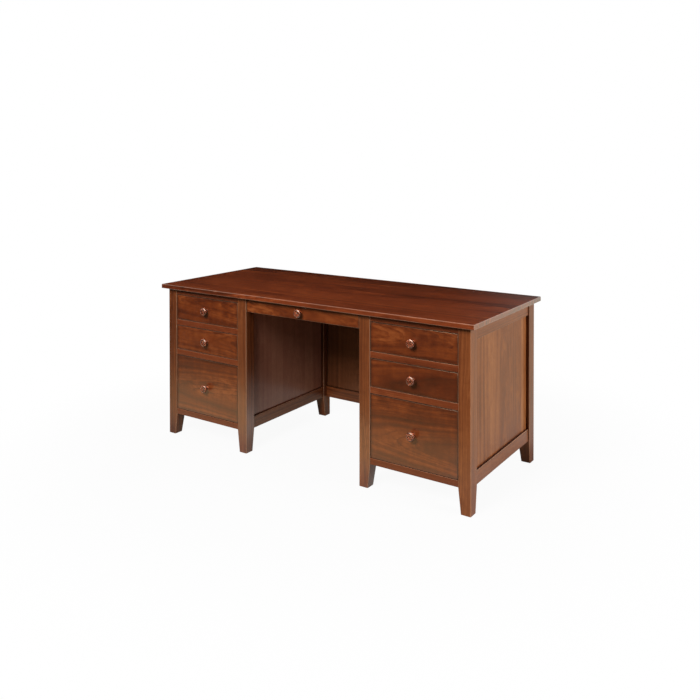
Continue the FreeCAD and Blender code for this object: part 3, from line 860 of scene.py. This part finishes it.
def glue_joints(name: str, low: float, high: float, width: float) -> list[float]:
    """Spaces the joints of a glued-up panel unevenly.

    Args:
        name: The panel's name, which seeds the widths.
        low: One edge of the panel.
        high: The other edge.
        width: The usual width of a board.

    Returns:
        The places of the joints between boards.
    """
    picker = random.Random(f"{name} joints")
    count = max(1, round((high - low) / width))
    shares = [picker.uniform(1 - RIP_SPREAD, 1 + RIP_SPREAD) for _ in range(count)]
    scale = (high - low) / sum(shares)
    return [low + scale * sum(shares[:number]) for number in range(1, count)]


# The desk's sub-assemblies

@dataclass
class Desktop:
    """The solid slab, glued up from long boards, with a rounded upper edge."""

    edge_radius: float = 0.007
    corner_radius: float = 0.0025
    under_ease: float = 0.0075
    corner_segments: int = 3
    edge_segments: int = 5
    board_width: float = 0.115
    # The boards get darker from the front of the top towards the back
    lifts: tuple[float, ...] = (0.5, 0.7, 0.0, -0.7, -1.3, -1.7)

    def build(self) -> None:
        """Makes the slab."""
        low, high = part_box("desktop")
        slab = Blank.block(low, high)
        slab.ease(slab.edges_along(Axis.Z), self.corner_radius, self.corner_segments)
        slab.ease(slab.edges_at(Axis.Z, high.z), self.edge_radius, self.edge_segments)
        slab.ease(slab.edges_at(Axis.Z, low.z), self.under_ease, self.edge_segments)
        slab.spare(Axis.Y.unit)
        joints = glue_joints("desktop", low.y, high.y, self.board_width)
        slab.saw(Axis.Y, joints)
        slab.mark("desktop", Cut.PLAIN, Axis.X, Axis.Y, joints, self.lifts)
        slab.hang("desktop_slab", ROOT_BODY, TOP_WOOD, "top_wood", "desktop")


@dataclass
class Pedestal:
    """The frame of one pedestal: four posts, its rails and its panels."""

    side: str
    stave_width: float = 0.085
    # Lightens the kneehole panels as painted light and sheen
    knee_sheen_lift: float = 1.6

    def build(self) -> None:
        """Makes the frame."""
        for corner in ("outer_front", "knee_front", "outer_back", "knee_back"):
            self.post(f"{self.side}_{corner}_post")
        for rails in ("front_rails", "side_rails"):
            self.rails(f"{self.side}_{rails}")
        # The kneehole panels get the paler stain and lift, painted sheen and light
        for panel, across, finish, lift in (("outer", Axis.Y, PANEL_WOOD, 0.0),
                                            ("knee", Axis.Y, KNEE_SHEEN_WOOD, self.knee_sheen_lift),
                                            ("back", Axis.X, PANEL_WOOD, 0.0)):
            frame_panel(f"{self.side}_{panel}_panel", across, self.stave_width, finish, lift)

    def post(self, node: str) -> None:
        """Makes a post with straight grain.

        Args:
            node: The frame node that it stands for.
        """
        post = Blank.of_node(node)
        post.arrises()
        # The posts' faces towards the panel, above the feet, get painted shade, as in the panel's recess
        post.pool(-Axis.Y.unit if "back" in node else Axis.Y.unit, FOOT_HEIGHT)
        post.mark(node, Cut.RIFT, Axis.Z, lifts=(TONE_AND_SHADE_LIFTS.get(node, 0.0),))
        finish = KNEE_POST_WOOD if "knee_front" in node else FRAME_WOOD
        post.hang(f"{node}_stained", ROOT_BODY, finish, "frame_wood", node)

    def rails(self, node: str) -> None:
        """Makes a set of rails, each from its own board.

        Args:
            node: The frame node that they stand for.
        """
        rails = Blank.of_node(node)
        rails.arrises()
        # The side rails' upward faces get painted shade, as on the ledges under the panels
        if "side" in node:
            rails.pool(Axis.Z.unit)
        rails.mark(node, Cut.RIFT)
        finish = RAIL_WOOD if "front" in node else FRAME_WOOD
        rails.hang(f"{node}_stained", ROOT_BODY, finish, "frame_wood", node)


def frame_panel(node: str, across: Axis, width: float, finish: Wood, lift: float) -> None:
    """Makes a panel glued up from upright staves, with painted shade along the frame.

    Args:
        node: The frame node that it stands for.
        across: The direction in which the staves lie side by side.
        width: The usual width of a stave.
        finish: The panel's finish.
        lift: What is added to the staves' tones.
    """
    low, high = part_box(node)
    panel = Blank.of_node(node)
    out = Axis.X if across is Axis.Y else Axis.Y
    # Painted shade along the frame round each face of the panel, as the groove's shadow
    for level in (low[out.value], high[out.value]):
        panel.margin(out, level, PANEL_SHADE_WIDTH, PANEL_SHADE)
    joints = glue_joints(node, low[across.value], high[across.value], width)
    panel.saw(across, joints)
    panel.mark(node, Cut.PLAIN, Axis.Z, across, joints, (lift,))
    panel.hang(f"{node}_stained", ROOT_BODY, finish, "panel_wood", node)


@dataclass
class BackFrame:
    """The modesty panel between the pedestals, and the rails along the back."""

    stave_width: float = 0.095

    def build(self) -> None:
        """Makes the panel and the rails."""
        # The modesty panel's darker stain and lift are partly painted shade
        frame_panel("modesty_panel", Axis.X, self.stave_width, MODESTY_SHADE_WOOD, TONE_AND_SHADE_LIFTS["modesty_panel"])
        rails = Blank.of_node("back_rails")
        rails.arrises()
        # The back rails' upward faces get painted shade
        rails.pool(Axis.Z.unit)
        rails.mark("back_rails", Cut.RIFT, lifts=(TONE_AND_SHADE_LIFTS["back_rails"],))
        rails.hang("back_rails_stained", ROOT_BODY, FRAME_WOOD, "frame_wood", "back_rails")


@dataclass
class Knob:
    """A turned knob: a waisted stem under a full round rim, dished in front round a small button."""

    base_radius: float = 0.010
    neck_radius: float = 0.0075
    neck_height: float = 0.009
    rim_height: float = 0.010
    neck_round: float = 0.004
    back_round: float = 0.0024
    front_round: float = 0.0068
    ring_radius: float = 0.0105
    ring_round: float = 0.0014
    dish_slope: float = 0.0036
    dish_depth: float = 0.0012
    button_radius: float = 0.0044
    button_rise: float = 0.0007
    small_round: float = 0.0005
    neck_segments: int = 5
    back_segments: int = 4
    front_segments: int = 8
    ring_segments: int = 3
    small_segments: int = 2
    steps: int = 48

    def build(self, node: str, body: str) -> None:
        """Turns the knob that stands for a node.

        Args:
            node: The frame node.
            body: The drawer that carries it.
        """
        low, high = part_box(node)
        middle = (low + high) / 2
        radius = (high.x - low.x) / 2
        face, seat = low.y, high.y
        dish = face + self.dish_depth
        neck = (self.neck_radius, seat - self.neck_height)
        back = (radius, face + self.rim_height)
        front = (radius, face)
        ring = (self.ring_radius, face)
        slope = (self.ring_radius - self.dish_slope, dish)
        button = (self.button_radius - self.button_rise, dish - self.button_rise)
        profile = [(0.0, seat), (self.base_radius, seat), neck, back, front, ring, slope,
                   (self.button_radius, dish), button, (0.0, dish - self.button_rise)]
        knob = Blank()
        mesh = knob.mesh
        verts = [mesh.verts.new((middle.x + reach, depth, middle.z)) for reach, depth in profile]
        edges = [mesh.edges.new(pair) for pair in zip(verts, verts[1:])]
        bmesh.ops.spin(mesh, geom=verts + edges, cent=middle, axis=Axis.Y.unit, angle=math.tau,
                       steps=self.steps, use_merge=True)
        bmesh.ops.remove_doubles(mesh, verts=mesh.verts, dist=MERGE_DISTANCE)
        bmesh.ops.recalc_face_normals(mesh, faces=mesh.faces)
        for corner, rounding, segments in ((neck, self.neck_round, self.neck_segments),
                                           (back, self.back_round, self.back_segments),
                                           (front, self.front_round, self.front_segments),
                                           (ring, self.ring_round, self.ring_segments),
                                           (slope, self.small_round, self.small_segments),
                                           (button, self.small_round, self.small_segments)):
            knob.ease(self.turned_edges(mesh, middle, *corner), rounding, segments)
        knob.mark(node, Cut.RIFT, Axis.Y)
        knob.hang(f"{node}_turned", body, KNOB_WOOD, "knob_wood", node)

    @staticmethod
    def turned_edges(mesh: bmesh.types.BMesh, middle: Vector, radius: float,
                     depth: float) -> list[bmesh.types.BMEdge]:
        """Finds the edges of one turned ring.

        Args:
            mesh: The knob's mesh.
            middle: A point on the knob's axis.
            radius: The ring's radius.
            depth: The ring's place along Y.

        Returns:
            The edges.
        """
        def on_ring(vert: bmesh.types.BMVert) -> bool:
            """Tells whether a vertex lies on the ring."""
            reach = math.hypot(vert.co.x - middle.x, vert.co.z - middle.z)
            return abs(reach - radius) < LEVEL_SLACK and abs(vert.co.y - depth) < LEVEL_SLACK
        return [edge for edge in mesh.edges if all(on_ring(vert) for vert in edge.verts)]


@dataclass
class Screw:
    """A pan-head screw with a six-sided socket."""

    head_radius: float = 0.0042
    head_height: float = 0.0020
    crown_radius: float = 0.0029
    socket_radius: float = 0.0015
    socket_depth: float = 0.0012
    side_share: float = 0.5
    sides: int = 12

    def drive(self, blank: Blank, place: Vector, out: Vector) -> None:
        """Adds one screw's head to a piece.

        Args:
            blank: The piece that gathers the screws.
            place: The middle of the head's seat.
            out: The way that the head points.
        """
        mesh = blank.mesh
        turn = out.to_track_quat("Z", "Y").to_matrix().to_4x4()
        socket_sides = self.sides // 2
        loops = ((self.head_radius, 0.0, self.sides),
                 (self.head_radius, self.head_height * self.side_share, self.sides),
                 (self.crown_radius, self.head_height, self.sides),
                 (self.socket_radius, self.head_height, socket_sides),
                 (self.socket_radius, self.head_height - self.socket_depth, socket_sides))
        rings = []
        for number, (radius, height, sides) in enumerate(loops):
            matrix = Matrix.Translation(place) @ turn @ Matrix.Translation((0, 0, height))
            capped = number in (0, len(loops) - 1)
            made = bmesh.ops.create_circle(mesh, cap_ends=capped, radius=radius, segments=sides,
                                           matrix=matrix)
            rings.append({edge for vert in made["verts"] for edge in vert.link_edges})
        fresh = set()
        for lower, upper in zip(rings, rings[1:]):
            fresh.update(bmesh.ops.bridge_loops(mesh, edges=list(lower | upper))["faces"])
        caps = {face for ring in (rings[0], rings[-1]) for edge in ring for face in edge.link_faces}
        bmesh.ops.recalc_face_normals(mesh, faces=list(fresh | caps))


@dataclass
class Drawer:
    """One drawer: its face, knob, dovetailed box, slides and screws."""

    name: str
    face_ease: float = 0.002
    face_segments: int = 3
    face_margin: float = 0.014
    end_thickness: float = 0.015
    screw_inset: float = 0.055
    screw_level_inset: float = 0.0275
    screw_spread: float = 0.5
    slide_gauge: float = 0.0015
    slide_screws: tuple[float, ...] = (0.08, 0.5, 0.92)

    def build(self) -> None:
        """Makes the drawer."""
        self.face()
        Knob().build(f"{self.name}_knob", self.name)
        self.box()
        self.screws()
        for part in ("slides", "carriers"):
            if f"{self.name}_{part}" in frame["nodes"]:
                plate(f"{self.name}_{part}", ZINC)

    def face(self) -> None:
        """Makes the face from one plain-sawn board with rounded front edges."""
        node = f"{self.name}_face"
        low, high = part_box(node)
        face = Blank.block(low, high)
        face.ease(face.edges_at(Axis.Y, low.y), self.face_ease, self.face_segments)
        # Painted shade darkens the face towards its edges, as gap shadow
        face.margin(Axis.Y, low.y, self.face_margin)
        face.mark(node, Cut.PLAIN, Axis.X, lifts=(TONE_AND_SHADE_LIFTS.get(node, 0.0),))
        finish = FILE_FACE_WOOD if "file" in self.name else FACE_WOOD
        face.hang(f"{node}_stained", self.name, finish, "face_wood", node)

    def box(self) -> None:
        """Makes the dovetailed box, each board with its own grain."""
        node = f"{self.name}_box"
        box = Blank.of_node(node)
        box.mark(node, Cut.RIFT)
        box.hang(f"{node}_maple", self.name, BOX_WOOD, "box_wood", node)

    def screws(self) -> None:
        """Drives the knob's screw, the face's four screws and the slides' screws."""
        low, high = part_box(f"{self.name}_box")
        inside = low.y + self.end_thickness
        knob_low, knob_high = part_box(f"{self.name}_knob")
        knob = (knob_low + knob_high) / 2
        screws = Blank()
        screw = Screw()
        screw.drive(screws, Vector((knob.x, inside, knob.z)), Axis.Y.unit)
        middle = (low + high) / 2
        reach = (high - low) / 2 - Vector((self.screw_inset, 0, self.screw_level_inset))
        for side in (-1, 1):
            for level in (-self.screw_spread, self.screw_spread):
                spot = Vector((middle.x + reach.x * side, inside, middle.z + reach.z * level))
                screw.drive(screws, spot, Axis.Y.unit)
        slide_low, slide_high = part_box(f"{self.name}_slides")
        for wall, out in ((low.x, -1), (high.x, 1)):
            for share in self.slide_screws:
                depth = slide_low.y + (slide_high.y - slide_low.y) * share
                spot = Vector((wall + self.slide_gauge * out, depth, (slide_low.z + slide_high.z) / 2))
                screw.drive(screws, spot, Axis.X.unit * out)
        screws.hang(f"{self.name}_screws", self.name, SCREW_STEEL, "steel")


def plate(node: str, finish: Steel) -> None:
    """Gives a steel node its plating.

    Args:
        node: The frame node.
        finish: Its finish.
    """
    data = frame["nodes"][node].data
    data.materials.clear()
    data.materials.append(finish.material())
    log.info("%s: plated", node)


@dataclass
class Fittings:
    """What stays inside the cabinet: cleats, slide members, file bars and the top's brackets."""

    bracket_gauge: float = 0.002

    def build(self) -> None:
        """Dresses the fittings."""
        cleats = Blank.of_node("slide_cleats")
        cleats.mark("slide_cleats", Cut.RIFT)
        cleats.hang("slide_cleats_planed", ROOT_BODY, CLEAT_WOOD, "cleat_wood", "slide_cleats")
        for node in ("cabinet_slide_members", "top_brackets"):
            plate(node, ZINC)
        for side in SIDES:
            plate(f"{side}_file_drawer_file_rails", BAR_STEEL)
        self.bracket_screws()

    def bracket_screws(self) -> None:
        """Drives a screw through each leg of the brackets, into the rail and into the top."""
        brackets = Blank.of_node("top_brackets")
        screws = Blank()
        screw = Screw()
        for faces in brackets.solids():
            corners = [vert.co for face in faces for vert in face.verts]
            low = Vector([min(corner[k] for corner in corners) for k in range(3)])
            high = Vector([max(corner[k] for corner in corners) for k in range(3)])
            middle = (low + high) / 2
            foot = next(corner for corner in corners if corner.z - low.z < LEVEL_SLACK)
            rail, out = (high.x, -1) if foot.x > middle.x else (low.x, 1)
            side_seat = Vector((rail + self.bracket_gauge * out, middle.y, middle.z))
            top_seat = Vector((middle.x, middle.y, high.z - self.bracket_gauge))
            screw.drive(screws, side_seat, Axis.X.unit * out)
            screw.drive(screws, top_seat, -Axis.Z.unit)
        brackets.mesh.free()
        screws.hang("bracket_screws", ROOT_BODY, SCREW_STEEL, "steel")


@dataclass(frozen=True)
class Lamp:
    """A soft square lamp at a place that faces a point, for light, or for the glints on some pieces alone."""

    name: str
    place: tuple[float, float, float]
    aim: tuple[float, float, float]
    size: float
    power: float
    glints_on: str = ""
    glossy: bool = True

    def hang(self) -> None:
        """Hangs the lamp."""
        data = bpy.data.lights.new(self.name, "AREA")
        data.size = self.size
        data.energy = self.power
        lamp = bpy.data.objects.new(self.name, data)
        lamp.visible_glossy = self.glossy
        if self.glints_on:
            lamp.visible_diffuse = False
            lit = bpy.data.collections.new(f"{self.name}_pieces")
            for piece in bpy.context.scene.objects:
                if piece.name.endswith(self.glints_on):
                    lit.objects.link(piece)
            lamp.light_linking.receiver_collection = lit
        lamp.location = self.place
        lamp.rotation_euler = (Vector(self.aim) - Vector(self.place)).to_track_quat("-Z", "Y").to_euler()
        bpy.context.scene.collection.objects.link(lamp)


@dataclass(frozen=True)
class Card:
    """A card that stands or lies and shows in reflections alone, to set the colour of the lacquer's sheen."""

    name: str
    middle: tuple[float, float, float]
    width: float
    height: float
    feather: float
    density: float = 1.0
    tint: str = "#0c0a09"
    lean: float = RIGHT_ANGLE

    def stand(self) -> None:
        """Sets the card up at its lean, where 0 lies flat."""
        half_width, half_height = self.width / 2, self.height / 2
        face = CardFace(f"{self.name}_face", half_width, half_height, self.feather, self.tint, self.density)
        card = sheet(self.name, half_width, half_height, face)
        card.location = self.middle
        card.rotation_euler = (self.lean, 0.0, 0.0)
        for rays in ("camera", "diffuse", "transmission", "shadow", "volume_scatter"):
            setattr(card, f"visible_{rays}", False)


def sheet(name: str, half_width: float, half_height: float, finish: Finish) -> bpy.types.Object:
    """Makes a flat sheet of the studio.

    Args:
        name: The sheet's name.
        half_width: Half its width.
        half_height: Half its height.
        finish: Its finish.

    Returns:
        The sheet.
    """
    mesh = bmesh.new()
    bmesh.ops.create_grid(mesh, x_segments=2, y_segments=2, size=1.0,
                          matrix=Matrix.Diagonal((half_width, half_height, 1.0, 1.0)))
    data = bpy.data.meshes.new(name)
    mesh.to_mesh(data)
    mesh.free()
    data.materials.append(finish.material())
    made = bpy.data.objects.new(name, data)
    bpy.context.scene.collection.objects.link(made)
    return made


@dataclass
class Studio:
    """White paper, soft lamps, cards and the camera at the photograph's place."""

    image_pixels: float = 700.0
    focal_pixels: float = 748.5
    axis_pixel: tuple[float, float] = (390.0, 167.5)
    yaw: float = 32.33
    pitch: float = -0.751
    place: tuple[float, float, float] = (2.1611, -2.9757, 1.4176)
    sensor: float = 36.0
    floor_reach: float = 40.0
    ambient: float = 0.23
    lamps: tuple[Lamp, ...] = (
        Lamp("key_lamp", place=(0.15, -3.4, 3.1), aim=(0.1, 0.0, 0.45), size=1.5, power=166.0),
        Lamp("back_lamp", place=(-1.2, 3.8, 2.2), aim=(0.0, 0.3, 0.4), size=2.0, power=60.0, glossy=False),
        Lamp("fill_lamp", place=(4.6, 0.2, 1.9), aim=(0.4, 0.0, 0.4), size=2.0, power=122.0),
        Lamp("glint_lamp", place=(0.7, -1.2, 3.6), aim=(0.1, -0.35, 0.5), size=4.5, power=750.0,
             glints_on="_knob_turned"))
    cards: tuple[Card, ...] = (
        Card("near_card", middle=(-1.6, -1.0, 0.5), width=8.0, height=1.7, feather=0.3),
        Card("front_card", middle=(-3.0, -9.0, 4.0), width=24.0, height=10.0, feather=1.5, density=0.9),
        Card("back_card", middle=(-3.65, 3.0, 2.6), width=11.2, height=10.0, feather=3.0),
        Card("warm_card", middle=(2.15, 2.0, 0.01), width=2.5, height=5.0, feather=0.35, tint="#ede2c8",
             lean=0.0),
        Card("low_card", middle=(-0.6, -1.1, 0.01), width=2.8, height=1.5, feather=0.3, tint="#fff0c4",
             lean=0.0))

    def build(self) -> None:
        """Sets the studio up."""
        scene = bpy.context.scene
        scene.view_settings.view_transform = "Standard"
        sheet("studio_floor", self.floor_reach, self.floor_reach, Paper("studio_paper"))
        self.world(scene)
        for lamp in self.lamps:
            lamp.hang()
        for card in self.cards:
            card.stand()
        self.camera(scene)

    def world(self, scene: bpy.types.Scene) -> None:
        """Lights the room evenly, and shows white to the lens and in reflections.

        Args:
            scene: The scene that gets the world.
        """
        world = bpy.data.worlds.new("white_room")
        world.use_nodes = True
        graph = Graph(world.node_tree)
        dim = graph.node("ShaderNodeBackground", {}, {"Color": WHITE, "Strength": self.ambient})
        white = graph.node("ShaderNodeBackground", {}, {"Color": WHITE, "Strength": 1.0})
        shown = graph.node("ShaderNodeMixShader", {}, {0: seen_rays(graph), 1: dim, 2: white})
        graph.node("ShaderNodeOutputWorld", {}, {"Surface": shown})
        scene.world = world

    def camera(self, scene: bpy.types.Scene) -> None:
        """Sets the camera at the photograph's place and view angle.

        Args:
            scene: The scene that gets the camera.
        """
        data = bpy.data.cameras.new("camera")
        data.sensor_width = self.sensor
        data.lens = self.focal_pixels * self.sensor / self.image_pixels
        half = self.image_pixels / 2
        data.shift_x = (half - self.axis_pixel[0]) / self.image_pixels
        data.shift_y = (self.axis_pixel[1] - half) / self.image_pixels
        camera = bpy.data.objects.new("camera", data)
        camera.location = self.place
        camera.rotation_euler = (RIGHT_ANGLE + math.radians(self.pitch), 0.0, math.radians(self.yaw))
        scene.collection.objects.link(camera)
        scene.camera = camera


def main() -> None:
    """Builds the desk's sub-assemblies in order, each piece reported as it is hung, and then the studio."""
    logging.basicConfig(level=logging.INFO, format="%(message)s")
    Desktop().build()
    for side in SIDES:
        Pedestal(side).build()
        for level in LEVELS:
            Drawer(f"{side}_{level}_drawer").build()
    Drawer("pencil_drawer").build()
    BackFrame().build()
    Fittings().build()
    Studio().build()


if __name__ == "__main__":
    main()
